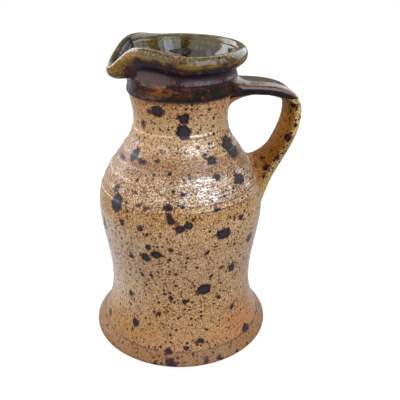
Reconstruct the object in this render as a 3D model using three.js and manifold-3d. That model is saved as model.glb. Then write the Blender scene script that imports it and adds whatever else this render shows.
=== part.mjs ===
// Stoneware pitcher, in millimetres, +Z up, standing on the XY plane.
// The origin is the centre of the base. The handle points along +X and the pouring lip along -X.
//
// A wheel-thrown clay body with a flared foot carries a pulled strap handle. Each root of the strap is
// bedded in a coil of clay. A glaze lines the inside, and the mouth was dipped upside down in the same
// glaze, which covers the lip, the collar and the top of the handle above one level line.

import * as THREE from "three";
import { mergeVertices } from "three/addons/utils/BufferGeometryUtils.js";
import Module from "manifold-3d";

const wasm = await Module();
wasm.setup();

// Thrown wall: outside radii, and the rise from each station to the next one above it
const FOOT_RADIUS = 57.8;
const FOOT_UNDERCUT = 5.8;
const FOOT_EDGE_RISE = 4.8;
const BEVEL_RADIUS = 53;
const BEVEL_RISE = 6;
const STEP_DEPTH = 0.6;
const WAIST_RADIUS = 45.6;
const SKIRT_RISE = 30;
const BELLY_RADIUS = 51.2;
const BELLY_RISE = 53;
const NECK_RADIUS = 28.3;
const SHOULDER_RISE = 54;
const COLLAR_RADIUS = 32.2;
const COLLAR_RISE = 26;
const GROOVE_DEPTH = 0.8;
const GROOVE_RISE = 3.6;
const LIP_RADIUS = 37.6;
const LIP_RISE = 7.5;
const CREST_RISE = 3.9;
const CREST_INSET = 3;

// Thickness of the clay
const FLOOR_THICKNESS = 8;
const FLOOR_CORNER = 14;
const LOWER_WALL = 5.4;
const BELLY_WALL = 5;
const NECK_WALL = 4.4;
const COLLAR_WALL = 4.4;
const LIP_WALL = 5.8;

// Pouring lip: how far the lip is drawn out and down, and pressed in beside and below it
const SPOUT_REACH = 5.2;
const SPOUT_DROOP = 10.5;
const SPOUT_HALF_ANGLE = 32;
const THROAT_HALF_ANGLE = 32;
const THROAT_DEPTH = 3;
const PINCH_DEPTH = 3.2;
const PINCH_ANGLE = 48;
const SHOULDER_LIFT = 3;
const SHOULDER_ANGLE = 44;

// Strap handle
const HANDLE_WIDTH = 25;
const HANDLE_TAIL_WIDTH = 23;
const HANDLE_THICKNESS = 7;
const HANDLE_TAIL_THICKNESS = 9.5;
const HANDLE_GROOVE = 0.9;
const FINGER_ROOM = 37.8;
const ROOT_BELOW_COLLAR = 8.7;
const REACH_BELOW_ROOT = 16.4;
const TAIL_BELOW_ROOT = 72;
const TAIL_SINK = 4.4;

// Coils of clay that bed the two roots
const COIL_EDGE = 0.7;
const ROOT_COIL_LENGTH = 13;
const ROOT_COIL_SIDE = 3.4;
const ROOT_COIL_TOP = 1.4;
const ROOT_COIL_UNDER = 13;
const TAIL_COIL_LENGTH = 36;
const TAIL_COIL_SIDE = 2.2;
const TAIL_COIL_UNDER = 20;
const TAIL_COIL_SHELF = 1.4;

// Glaze, and the clearance between pieces that lie against each other
const GLAZE_THICKNESS = 0.7;
const GLAZE_LINE_BELOW_COLLAR = 10.2;
const SEAT = 0.3;

// Facets
const WALL_SEGMENTS = 48;
const SPOUT_CROWDING = 0.5;
const AXIS_RADIUS = 1e-6;
const STRAP_SIDES = 20;
const ROOT_STEPS = 8;
const FREE_STEPS = 12;
const TAIL_STEPS = 10;

// Heights of the stations above the base
const BEVEL_Z = FOOT_EDGE_RISE + BEVEL_RISE;
const WAIST_Z = BEVEL_Z + SKIRT_RISE;
const BELLY_Z = WAIST_Z + BELLY_RISE;
const NECK_Z = BELLY_Z + SHOULDER_RISE;
const COLLAR_Z = NECK_Z + COLLAR_RISE;
const GROOVE_Z = COLLAR_Z + GROOVE_RISE;
const LIP_Z = GROOVE_Z + LIP_RISE;
const CREST_Z = LIP_Z + CREST_RISE;
const CREST_RADIUS = LIP_RADIUS - CREST_INSET;
const GLAZE_LINE_Z = COLLAR_Z - GLAZE_LINE_BELOW_COLLAR;

// A span of the wall between two stations where it runs straight up, as an S-shaped cubic
function swell(path, fromZ, toRadius, toZ, leave, arrive) {
  const from = path.currentPoint.x;
  const rise = toZ - fromZ;
  path.bezierCurveTo(from, fromZ + leave * rise, toRadius, toZ - arrive * rise, toRadius, toZ);
}

// Outside of the thrown wall, from the centre of the base to the crest of the lip
function outerPath() {
  const path = new THREE.Path();
  path.moveTo(0, 0);
  path.lineTo(FOOT_RADIUS - FOOT_UNDERCUT, 0);
  path.quadraticCurveTo(
    FOOT_RADIUS - FOOT_UNDERCUT / 3, FOOT_EDGE_RISE / 2,
    FOOT_RADIUS, FOOT_EDGE_RISE,
  );
  path.bezierCurveTo(
    FOOT_RADIUS, FOOT_EDGE_RISE + BEVEL_RISE / 3,
    BEVEL_RADIUS + STEP_DEPTH, BEVEL_Z - BEVEL_RISE / 4,
    BEVEL_RADIUS, BEVEL_Z,
  );
  path.lineTo(BEVEL_RADIUS - STEP_DEPTH, BEVEL_Z + STEP_DEPTH);
  const flare = BEVEL_RADIUS - STEP_DEPTH - WAIST_RADIUS;
  path.bezierCurveTo(
    BEVEL_RADIUS - STEP_DEPTH - flare / 2, BEVEL_Z + SKIRT_RISE * 0.26,
    WAIST_RADIUS, WAIST_Z - SKIRT_RISE * 0.42,
    WAIST_RADIUS, WAIST_Z,
  );
  swell(path, WAIST_Z, BELLY_RADIUS, BELLY_Z, 0.42, 0.34);
  swell(path, BELLY_Z, NECK_RADIUS, NECK_Z, 0.48, 0.34);
  swell(path, NECK_Z, COLLAR_RADIUS, COLLAR_Z, 0.4, 0.36);
  const groove = COLLAR_RADIUS - GROOVE_DEPTH;
  path.quadraticCurveTo(groove, COLLAR_Z + GROOVE_RISE / 2, groove, GROOVE_Z);
  path.bezierCurveTo(groove, GROOVE_Z + LIP_RISE / 3, LIP_RADIUS, LIP_Z - LIP_RISE / 2, LIP_RADIUS, LIP_Z);
  path.bezierCurveTo(
    LIP_RADIUS, LIP_Z + CREST_RISE * 0.6,
    CREST_RADIUS + CREST_INSET * 0.55, CREST_Z,
    CREST_RADIUS, CREST_Z,
  );
  return path;
}

// Inside of the thrown wall, from the crest of the lip down to the centre of the floor
function innerPath() {
  const path = new THREE.Path();
  const lip = LIP_RADIUS - LIP_WALL;
  const collar = COLLAR_RADIUS - COLLAR_WALL;
  const neck = NECK_RADIUS - NECK_WALL;
  const belly = BELLY_RADIUS - BELLY_WALL;
  const waist = WAIST_RADIUS - LOWER_WALL;
  path.moveTo(CREST_RADIUS, CREST_Z);
  path.bezierCurveTo(
    CREST_RADIUS - (CREST_RADIUS - lip) * 0.55, CREST_Z,
    lip, LIP_Z + CREST_RISE * 0.5,
    lip, LIP_Z,
  );
  swell(path, LIP_Z, collar, COLLAR_Z, 0.4, 0.4);
  swell(path, COLLAR_Z, neck, NECK_Z, 0.4, 0.4);
  swell(path, NECK_Z, belly, BELLY_Z, 0.34, 0.48);
  swell(path, BELLY_Z, waist, WAIST_Z, 0.34, 0.42);
  path.lineTo(waist, FLOOR_THICKNESS + FLOOR_CORNER);
  path.quadraticCurveTo(waist, FLOOR_THICKNESS, waist - FLOOR_CORNER, FLOOR_THICKNESS);
  path.lineTo(0, FLOOR_THICKNESS);
  return path;
}

// Points along a path, with a chosen number of steps on each of its curves
function sample(path, steps) {
  const points = [path.curves[0].getPoint(0)];
  path.curves.forEach((curve, i) => {
    for (let k = 1; k <= steps[i]; k += 1) {
      points.push(curve.getPoint(k / steps[i]));
    }
  });
  return points;
}

const OUTER = sample(outerPath(), [1, 2, 3, 1, 4, 5, 7, 5, 2, 3, 3]);
const INNER = sample(innerPath(), [2, 2, 3, 5, 3, 1, 2, 1]);
const FLANK_START = OUTER.findIndex((p) => p.y > GLAZE_LINE_Z);

// A profile moved by a distance to its left, seen along its direction
function offset(points, distance) {
  return points.map((p, i) => {
    const before = points[Math.max(i - 1, 0)];
    const after = points[Math.min(i + 1, points.length - 1)];
    const along = after.clone().sub(before).normalize();
    const onAxis = p.x < AXIS_RADIUS;
    return new THREE.Vector2(onAxis ? 0 : p.x - along.y * distance, p.y + along.x * distance);
  });
}

const smooth = (t) => THREE.MathUtils.smoothstep(t, 0, 1);
const bump = (t) => Math.cos((Math.PI / 2) * THREE.MathUtils.clamp(t, -1, 1)) ** 2;
const degrees = THREE.MathUtils.radToDeg;

// Draws the lip out and down at the spout, presses the throat in below it, and pinches and lifts the
// lip on both sides of it, where the fingers held it
function pullSpout(point) {
  const startZ = NECK_Z + COLLAR_RISE * 0.6;
  const rise = THREE.MathUtils.clamp((point.z - startZ) / (LIP_Z - startZ), 0, 1);
  const turn = Math.abs(degrees(Math.atan2(point.y, -point.x)));
  const halfAngle = THREE.MathUtils.lerp(THROAT_HALF_ANGLE, SPOUT_HALF_ANGLE, rise);
  const beak = bump(turn / halfAngle);
  const throat = bump(turn / THROAT_HALF_ANGLE) * bump((point.z - COLLAR_Z) / (GROOVE_Z - startZ));
  const pinch = bump((turn - PINCH_ANGLE) / PINCH_ANGLE) * smooth(rise);
  const shoulder = bump((turn - SHOULDER_ANGLE) / SHOULDER_ANGLE) * smooth(rise);
  const lipRise = Math.max(0, (point.z - GROOVE_Z) / (CREST_Z - GROOVE_Z));
  const radius = Math.hypot(point.x, point.y);
  const moved = radius + beak * SPOUT_REACH * lipRise - throat * THROAT_DEPTH - pinch * PINCH_DEPTH;
  point.x *= moved / radius;
  point.y *= moved / radius;
  point.z += shoulder * SHOULDER_LIFT - beak * SPOUT_DROOP * rise ** 1.5;
}

// A profile turned on the wheel about +Z, with its facets crowded at the spout, and the spout pulled
function thrown(profile) {
  const lathe = new THREE.LatheGeometry(profile, WALL_SEGMENTS);
  lathe.rotateX(Math.PI / 2);
  const position = lathe.getAttribute("position");
  const point = new THREE.Vector3();
  for (let i = 0; i < position.count; i += 1) {
    point.fromBufferAttribute(position, i);
    const radius = Math.hypot(point.x, point.y);
    if (radius > AXIS_RADIUS) {
      const even = Math.atan2(point.y, -point.x);
      const crowded = even - SPOUT_CROWDING * Math.sin(even);
      point.x = -radius * Math.cos(crowded);
      point.y = radius * Math.sin(crowded);
      pullSpout(point);
    }
    position.setXYZ(i, point.x, point.y, point.z);
  }
  return solid(lathe);
}

// A closed geometry as a manifold solid, facing out
function solid(geometry) {
  const bare = geometry.clone();
  bare.deleteAttribute("normal");
  bare.deleteAttribute("uv");
  const merged = mergeVertices(bare, 1e-4);
  const index = merged.index.array;
  const corners = [];
  for (let i = 0; i < index.length; i += 3) {
    const [a, b, c] = [index[i], index[i + 1], index[i + 2]];
    if (a !== b && b !== c && a !== c) corners.push(a, b, c);
  }
  const build = (triVerts) => new wasm.Manifold(new wasm.Mesh({
    numProp: 3,
    vertProperties: new Float32Array(merged.getAttribute("position").array),
    triVerts: new Uint32Array(triVerts),
  }));
  const made = build(corners);
  return made.volume() > 0 ? made : build(corners.reverse());
}

// Centre line of the strap, in the XZ plane: out from the collar, over, and down into the belly
const ROOT_Z = COLLAR_Z - ROOT_BELOW_COLLAR;
const REACH_X = NECK_RADIUS + FINGER_ROOM + HANDLE_THICKNESS / 2;
const REACH_Z = ROOT_Z - REACH_BELOW_ROOT;
const TAIL_Z = ROOT_Z - TAIL_BELOW_ROOT;
const TAIL_X = BELLY_RADIUS - TAIL_SINK;

function handleLine() {
  const at = (x, z) => new THREE.Vector3(x, 0, z);
  const start = NECK_RADIUS - NECK_WALL / 2;
  const drop = REACH_Z - TAIL_Z;
  const line = new THREE.CurvePath();
  line.add(new THREE.CubicBezierCurve3(
    at(start, ROOT_Z),
    at(REACH_X - (REACH_X - start) * 0.18, ROOT_Z),
    at(REACH_X, REACH_Z + REACH_BELOW_ROOT * 0.64),
    at(REACH_X, REACH_Z),
  ));
  line.add(new THREE.CubicBezierCurve3(
    at(REACH_X, REACH_Z),
    at(REACH_X, REACH_Z - drop * 0.34),
    at(TAIL_X + (REACH_X - TAIL_X) * 0.33, TAIL_Z + drop * 0.43),
    at(TAIL_X, TAIL_Z),
  ));
  return line;
}

const HANDLE_LINE = handleLine();
const HANDLE_LENGTH = HANDLE_LINE.getLength();

// Shares of the strap's length, in three runs: in the root coil, free, and in the tail coil
function steps(from, to, count) {
  return Array.from({ length: count + 1 }, (_, k) => from + ((to - from) * k) / count);
}
const ROOT_END = (COLLAR_RADIUS - NECK_RADIUS + NECK_WALL / 2 + ROOT_COIL_LENGTH) / HANDLE_LENGTH;
const TAIL_START = 1 - TAIL_COIL_LENGTH / HANDLE_LENGTH;
const ROOT_RUN = steps(0, ROOT_END, ROOT_STEPS);
const FREE_RUN = steps(ROOT_END, TAIL_START, FREE_STEPS);
const TAIL_RUN = steps(TAIL_START, 1, TAIL_STEPS);
const WHOLE_RUN = [...ROOT_RUN, ...FREE_RUN.slice(1), ...TAIL_RUN.slice(1)];

// Swelling of the strap's section, in millimetres: across its width, and on its two faces
const even = (by) => ({ across: by, outer: by, inner: by });
const scaled = (swelling, by) => ({
  across: swelling.across * by,
  outer: swelling.outer * by,
  inner: swelling.inner * by,
});
const more = (swelling, by) => ({
  across: swelling.across + by,
  outer: swelling.outer + by,
  inner: swelling.inner + by,
});

// The strap over a run of shares of its length, with its section swollen as grow(share) says.
// The section is a flat rounded band whose outer face is hollowed by the thumb.
function strap(run, grow) {
  const rings = [];
  run.forEach((share) => {
    const centre = HANDLE_LINE.getPoint(share);
    const along = HANDLE_LINE.getTangent(share);
    const outward = new THREE.Vector3(-along.z, 0, along.x);
    const extra = grow(share);
    const halfWidth = THREE.MathUtils.lerp(HANDLE_WIDTH, HANDLE_TAIL_WIDTH, share) / 2 + extra.across;
    const thickness = THREE.MathUtils.lerp(HANDLE_THICKNESS, HANDLE_TAIL_THICKNESS, share);
    const ring = [];
    for (let j = 0; j < STRAP_SIDES; j += 1) {
      const angle = ((j + 0.5) / STRAP_SIDES) * 2 * Math.PI;
      const across = Math.sign(Math.cos(angle)) * Math.abs(Math.cos(angle)) ** 0.7;
      const through = Math.sign(Math.sin(angle)) * Math.abs(Math.sin(angle)) ** 0.7;
      const halfThickness = thickness / 2 + (through > 0 ? extra.outer : extra.inner);
      const hollow = HANDLE_GROOVE * Math.max(0, through) * (1 - across ** 2);
      ring.push(centre.clone()
        .addScaledVector(outward, through * halfThickness - hollow)
        .add(new THREE.Vector3(0, across * halfWidth, 0)));
    }
    rings.push(ring);
  });
  return solid(loft(rings));
}

// A closed skin over rings of points, with a fan over each end
function loft(rings) {
  const sides = rings[0].length;
  const points = rings.flat();
  const middle = (ring) => ring.reduce((sum, p) => sum.add(p), new THREE.Vector3()).divideScalar(sides);
  const first = points.push(middle(rings[0])) - 1;
  const last = points.push(middle(rings[rings.length - 1])) - 1;
  const lastRing = (rings.length - 1) * sides;
  const index = [];
  for (let j = 0; j < sides; j += 1) {
    const next = (j + 1) % sides;
    for (let k = 0; k < lastRing; k += sides) {
      index.push(k + j, k + next, k + sides + j, k + next, k + sides + next, k + sides + j);
    }
    index.push(first, next, j, last, lastRing + j, lastRing + next);
  }
  return new THREE.BufferGeometry().setFromPoints(points).setIndex(index);
}

// A coil of clay along the strap has a thin edge at its far end and is full at the wall. At the tail it
// stays below the outer face of the strap.
function rootSwell(share) {
  const near = Math.max(0, 1 - share / ROOT_END);
  const full = { across: ROOT_COIL_SIDE, outer: ROOT_COIL_TOP, inner: ROOT_COIL_UNDER };
  return more(scaled(full, near ** 2), SEAT + COIL_EDGE);
}

function tailSwell(share) {
  const near = (share - TAIL_START) / (1 - TAIL_START);
  const full = { across: TAIL_COIL_SIDE, outer: 0, inner: TAIL_COIL_UNDER };
  const coil = more(scaled(full, near ** 1.5), SEAT + COIL_EDGE);
  return { ...coil, outer: -TAIL_COIL_SHELF };
}

// The outside of the thrown wall, filled to the axis and grown all round, to cut what lies against it
function wallCutter(grow) {
  const capped = [...offset(OUTER, -grow), new THREE.Vector2(0, CREST_Z + grow)];
  return thrown(capped);
}

function throwBody() {
  return thrown([...OUTER, ...INNER.slice(1)]);
}

function pullHandle() {
  return strap(WHOLE_RUN, () => even(0)).subtract(wallCutter(SEAT));
}

// A coil of clay round the strap, with room for the strap, resting against the wall
function bed(run, swelling) {
  const room = strap(WHOLE_RUN, () => even(SEAT));
  return strap(run, swelling).subtract(room).subtract(wallCutter(SEAT));
}

// The coat inside starts just inside the crest of the lip, where the coat on the collar ends
function lineInside() {
  const start = INNER[1].clone().add(INNER[2].clone().sub(INNER[1]).setLength(SEAT));
  const inside = [start, ...INNER.slice(2)];
  const against = offset(inside, -SEAT);
  const surface = offset(inside, -SEAT - GLAZE_THICKNESS);
  return thrown([...against, ...surface.reverse(), against[0]]);
}

// The coat over the lip and collar ends at the glaze line, with a hole where the handle's root stands
function dipCollar() {
  const edge = new THREE.Vector2(wallRadius(GLAZE_LINE_Z), GLAZE_LINE_Z);
  const flank = [edge, ...OUTER.slice(FLANK_START), INNER[1]];
  const against = offset(flank, -SEAT);
  const surface = offset(flank, -SEAT - GLAZE_THICKNESS);
  const coat = thrown([...against, ...surface.reverse(), against[0]]);
  return coat.subtract(strap(ROOT_RUN, (share) => more(rootSwell(share), SEAT)));
}

// Outside radius of the wall at a height
function wallRadius(z) {
  const i = OUTER.findIndex((p) => p.y > z);
  const [low, high] = [OUTER[i - 1], OUTER[i]];
  return THREE.MathUtils.mapLinear(z, low.y, high.y, low.x, high.x);
}

// The coat on the handle covers the strap and its root coil above the glaze line
function dipHandle() {
  const run = [...ROOT_RUN, ...FREE_RUN.slice(1)];
  const under = (share) => more(share > ROOT_END ? even(0) : rootSwell(share), SEAT);
  const skin = strap(run, (share) => more(under(share), GLAZE_THICKNESS));
  const reach = REACH_X + HANDLE_THICKNESS;
  const dip = new THREE.BoxGeometry(2 * reach, 2 * reach, CREST_Z);
  dip.translate(0, 0, GLAZE_LINE_Z + CREST_Z / 2);
  const coat = skin.subtract(strap(run, under)).intersect(solid(dip));
  return coat.subtract(wallCutter(2 * SEAT + GLAZE_THICKNESS));
}

// A manifold solid as a geometry with flat faces
function geometryOf(made) {
  const mesh = made.getMesh();
  const geometry = new THREE.BufferGeometry();
  geometry.setAttribute("position", new THREE.BufferAttribute(mesh.vertProperties, 3));
  geometry.setIndex(new THREE.BufferAttribute(mesh.triVerts, 1));
  geometry.computeVertexNormals();
  return geometry;
}

const CLAY = new THREE.MeshStandardMaterial({ color: 0xa9814f, roughness: 0.5, metalness: 0 });
const GLAZE = new THREE.MeshStandardMaterial({ color: 0x2e2126, roughness: 0.12, metalness: 0 });
const LINER = new THREE.MeshStandardMaterial({ color: 0x5b4c22, roughness: 0.12, metalness: 0 });

function piece(name, made, material) {
  const mesh = new THREE.Mesh(geometryOf(made), material);
  mesh.name = name;
  return mesh;
}

const pitcher = new THREE.Group();
pitcher.add(
  piece("thrown_body", throwBody(), CLAY),
  piece("pulled_handle", pullHandle(), CLAY),
  piece("upper_root_coil", bed(ROOT_RUN, rootSwell), CLAY),
  piece("lower_root_coil", bed(TAIL_RUN, tailSwell), CLAY),
  piece("liner_glaze", lineInside(), LINER),
  piece("collar_glaze", dipCollar(), GLAZE),
  piece("handle_glaze", dipHandle(), GLAZE),
);

export default pitcher;
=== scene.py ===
"""Stoneware pitcher: speckled clay, dipped glaze and a plain studio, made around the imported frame.

The pitcher stands on the XY plane with its handle along +X and its pouring lip along -X, in metres.
"""

import math

import bpy
import numpy as np
from mathutils import Matrix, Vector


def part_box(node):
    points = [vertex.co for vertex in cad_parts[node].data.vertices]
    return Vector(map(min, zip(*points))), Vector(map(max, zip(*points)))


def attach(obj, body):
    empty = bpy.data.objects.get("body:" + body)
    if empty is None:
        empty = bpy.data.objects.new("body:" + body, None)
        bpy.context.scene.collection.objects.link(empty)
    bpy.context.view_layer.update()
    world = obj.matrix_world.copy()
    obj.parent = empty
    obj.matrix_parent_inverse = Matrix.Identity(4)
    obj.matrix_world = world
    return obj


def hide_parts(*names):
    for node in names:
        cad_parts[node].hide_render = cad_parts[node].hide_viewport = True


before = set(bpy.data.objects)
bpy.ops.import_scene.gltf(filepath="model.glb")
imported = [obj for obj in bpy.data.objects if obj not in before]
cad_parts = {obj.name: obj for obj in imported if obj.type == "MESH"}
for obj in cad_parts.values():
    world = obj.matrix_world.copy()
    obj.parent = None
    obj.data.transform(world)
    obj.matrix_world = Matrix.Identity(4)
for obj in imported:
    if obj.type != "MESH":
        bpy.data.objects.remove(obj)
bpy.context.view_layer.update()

bl_info = {
    "name": "Stoneware Pitcher",
    "version": (1, 0, 0),
    "blender": (4, 5, 0),
    "location": "View3D > Sidebar > Pitcher",
    "description": "Builds the clay, the glaze and the studio of a stoneware pitcher",
    "category": "Object",
}

MM = 0.001
TURN = 2 * math.pi
SEED = 11

# The frame gives the sizes that the solids settle.
BODY_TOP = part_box("thrown_body")[1]
COAT_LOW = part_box("collar_glaze")[0]

# Larger iron spots on the side that the camera sees: across and down the 400-pixel frame, then wide and high.
FRAME_PIXELS = 400
IRON_SPOTS = (
    (157, 112, 13, 9), (148, 111, 3, 5), (184, 118, 12, 8), (184, 132, 14, 12), (143, 123, 3, 6),
    (228, 143, 9, 12), (233, 151, 9, 12), (135, 155, 6, 8), (123, 158, 5, 4), (142, 162, 7, 5),
    (158, 161, 5, 3), (212, 161, 9, 8), (205, 155, 4, 3), (239, 179, 9, 9), (217, 177, 6, 6),
    (117, 189, 5, 5), (117, 203, 10, 17), (147, 208, 5, 4), (168, 208, 7, 6), (184, 195, 5, 4),
    (169, 217, 5, 5), (173, 222, 7, 5), (179, 230, 9, 8), (188, 226, 8, 7), (224, 234, 14, 10),
    (249, 238, 5, 8), (218, 209, 5, 5), (241, 217, 4, 4), (122, 222, 5, 6), (105, 223, 3, 9),
    (141, 229, 4, 4), (148, 235, 4, 3), (145, 257, 9, 8), (156, 255, 10, 8), (148, 247, 6, 4),
    (171, 250, 5, 4), (208, 253, 4, 4), (231, 267, 6, 8), (222, 268, 4, 3), (205, 289, 13, 11),
    (171, 299, 5, 4), (185, 302, 5, 4), (132, 293, 4, 4), (159, 314, 4, 4), (136, 322, 5, 7),
    (199, 341, 7, 5), (245, 328, 5, 7), (187, 349, 4, 4), (167, 352, 7, 5), (218, 357, 4, 5),
    (207, 360, 4, 6), (169, 361, 7, 7), (173, 364, 5, 4), (156, 363, 4, 4), (232, 306, 4, 5),
    (218, 297, 4, 3), (213, 276, 3, 3), (152, 275, 3, 3), (132, 255, 4, 4), (111, 312, 3, 6),
)
STRAP_SPOTS = (
    (293, 106, 4, 3), (288, 137, 6, 6), (277, 157, 4, 5), (266, 167, 5, 5), (296, 126, 3, 3),
    (265, 176, 3, 3),
)

# Spots strewn over the side that it doesn't see, and the depth that stands for no spot near.
HIDDEN_SPOTS = 110
STRAP_HIDDEN_SPOTS = 14
NO_SPOT = -20 * MM

# The nose of the spout is painted over so many of its half widths.
NOSE_WIDTHS = 1.7

# Steps along each span of a profile, the angle that makes an edge sharp, and the gap under a coat.
SPAN_STEPS = 60
SHARP_ANGLE = math.radians(48)
SEAT = 0.05 * MM


def tone(red, green, blue):
    """A colour given as eight-bit screen values, as the linear values that a shader takes."""
    screen = np.array([red, green, blue]) / 255
    linear = np.where(screen <= 0.04045, screen / 12.92, ((screen + 0.055) / 1.055) ** 2.4)
    return tuple(linear.tolist())


def length(name, millimetres, text):
    """A size that the user can change."""
    return bpy.props.FloatProperty(
        name=name, description=text, default=millimetres * MM, unit="LENGTH", precision=5
    )


def degrees(name, value, text):
    """An angle that the user can change."""
    return bpy.props.FloatProperty(
        name=name, description=text, default=math.radians(value), subtype="ANGLE"
    )


def colour(name, value, text):
    """A colour that the user can change."""
    return bpy.props.FloatVectorProperty(
        name=name, description=text, default=value, size=3, min=0, max=1, subtype="COLOR"
    )


class PitcherWall(bpy.types.PropertyGroup):
    """Stations of the thrown wall, from the foot to the crest of the lip, and its thickness."""

    foot_radius: length("Foot radius", BODY_TOP.y / MM, "Widest radius of the foot")
    foot_height: length("Foot edge height", 4.8, "Height of the widest edge of the foot")
    undercut: length("Undercut", 5.8, "How far the underside of the foot is cut back")
    bevel_radius: length("Bevel radius", 53, "Radius where the bevel of the foot ends")
    bevel_height: length("Bevel height", 10.8, "Height where the bevel of the foot ends")
    step_depth: length("Step depth", 0.9, "Depth of the cut line above the bevel")
    waist_radius: length("Waist radius", 45.6, "Narrowest radius of the lower wall")
    waist_height: length("Waist height", 40.8, "Height of the narrowest lower wall")
    belly_radius: length("Belly radius", 51.2, "Widest radius of the belly")
    belly_height: length("Belly height", 93.8, "Height of the widest belly")
    neck_radius: length("Neck radius", 28.3, "Narrowest radius of the neck")
    neck_height: length("Neck height", 147.8, "Height of the narrowest neck")
    collar_radius: length("Collar radius", 32.2, "Radius of the ridge round the collar")
    collar_height: length("Collar height", 173.8, "Height of the ridge round the collar")
    groove_depth: length("Groove depth", 0.8, "Depth of the groove under the lip")
    groove_height: length("Groove height", 177.4, "Height of the groove under the lip")
    lip_radius: length("Lip radius", 37.6, "Widest radius of the rolled lip")
    lip_height: length("Lip height", 184.9, "Height of the widest lip")
    crest_radius: length("Crest radius", 34.6, "Radius of the crest of the lip")
    crest_height: length("Crest height", 188.8, "Height of the crest away from the spout")
    floor: length("Floor thickness", 8, "Thickness of the floor")
    floor_corner: length("Floor corner", 14, "Size of the curve between floor and wall")
    lower_wall: length("Lower wall", 5.4, "Thickness of the wall at the waist")
    belly_wall: length("Belly wall", 5, "Thickness of the wall at the belly")
    neck_wall: length("Neck wall", 4.4, "Thickness of the wall at the neck and collar")
    lip_wall: length("Lip wall", 5.8, "Thickness of the rolled lip")
    ring_pitch: length("Ring pitch", 4.1, "Rise of the throwing spiral in one turn")
    ring_depth: length("Ring depth", 0.42, "Depth of the throwing rings on the shoulder")
    ledge_pitch: length("Ledge pitch", 6.1, "Rise between two ledges on the shoulder")
    ledge_height: length("Ledge height", 122.4, "Height of one ledge in front")
    ledge_depth: length("Ledge depth", 0.6, "Depth of the ledges on the shoulder")


class PitcherSpout(bpy.types.PropertyGroup):
    """How the lip is drawn out into a spout."""

    reach: length("Reach", 5.2, "How far the lip is drawn out")
    droop: length("Droop", 10.5, "How far the lip is drawn down")
    half_angle: degrees("Half angle", 32, "Half the width of the spout at the lip")
    lean: degrees("Lean", 2.5, "How far the spout was pulled off the line opposite the handle")
    fullness: length("Fullness", 1.4, "How far the roll of the lip hangs under the spout")
    throat_angle: degrees("Throat angle", 32, "Half the width of the throat under it")
    throat_depth: length("Throat depth", 3, "How far the throat is pressed in")
    pinch_depth: length("Pinch depth", 3.2, "How far the lip is pinched in beside the spout")
    pinch_angle: degrees("Pinch angle", 48, "Where the lip is pinched, from the spout")
    lift: length("Shoulder lift", 3, "How far the lip rises beside the spout")
    lift_angle: degrees("Shoulder angle", 44, "Where the lip rises, from the spout")


class PitcherHandle(bpy.types.PropertyGroup):
    """The pulled strap and the clay that beds its roots."""

    width: length("Width", 25, "Width of the strap at its root")
    tail_width: length("Tail width", 23, "Width of the strap at its tail")
    thickness: length("Thickness", 7, "Thickness of the strap at its root")
    tail_thickness: length("Tail thickness", 9.5, "Thickness of the strap at its tail")
    groove: length("Groove", 0.9, "Depth of the hollow along the outer face")
    finger_room: length("Finger room", 37.75, "Room between the neck and the strap")
    root_height: length("Root height", 165.1, "Height of the strap's centre at its root")
    bend_drop: length("Bend drop", 16.4, "Drop from the root to the furthest reach")
    tail_drop: length("Tail drop", 72, "Drop from the root to the tail")
    tail_sink: length("Tail sink", 4.4, "How far the tail is sunk in the belly")
    fill_reach: length("Fill reach", 24, "How far the clay inside the loop runs along the strap")
    root_fill: length("Root fill", 10, "How far that clay runs down the neck")
    tail_fill: length("Tail fill", 20, "How far that clay runs up the shoulder")
    root_smear: length("Root smear", 4, "Smear of clay beside the root")
    tail_smear: length("Tail smear", 8, "Smear of clay beside the tail")
    crown_smear: length("Crown smear", 6, "Smear of clay on the outer face")
    sunk: length("Sunk", 2.5, "How deep the ends of the strap lie in the wall")


class PitcherGlaze(bpy.types.PropertyGroup):
    """Thickness of the glaze and where the dip ended."""

    coat: length("Coat", 0.9, "Rise of the glaze above the clay")
    line: length("Dip line", COAT_LOW.z / MM, "Height where the dip ended")
    waver: length("Waver", 0.45, "Unevenness of the dip line")
    strap_dip: length("Handle dip", 2.4, "How much lower the dip ended on the handle")
    run_down: length("Run down", 3.1, "How far the glaze ran down over the bend of the handle")
    turn_in: length("Turn in", 5, "How far the dip turns in over the crest")


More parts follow.
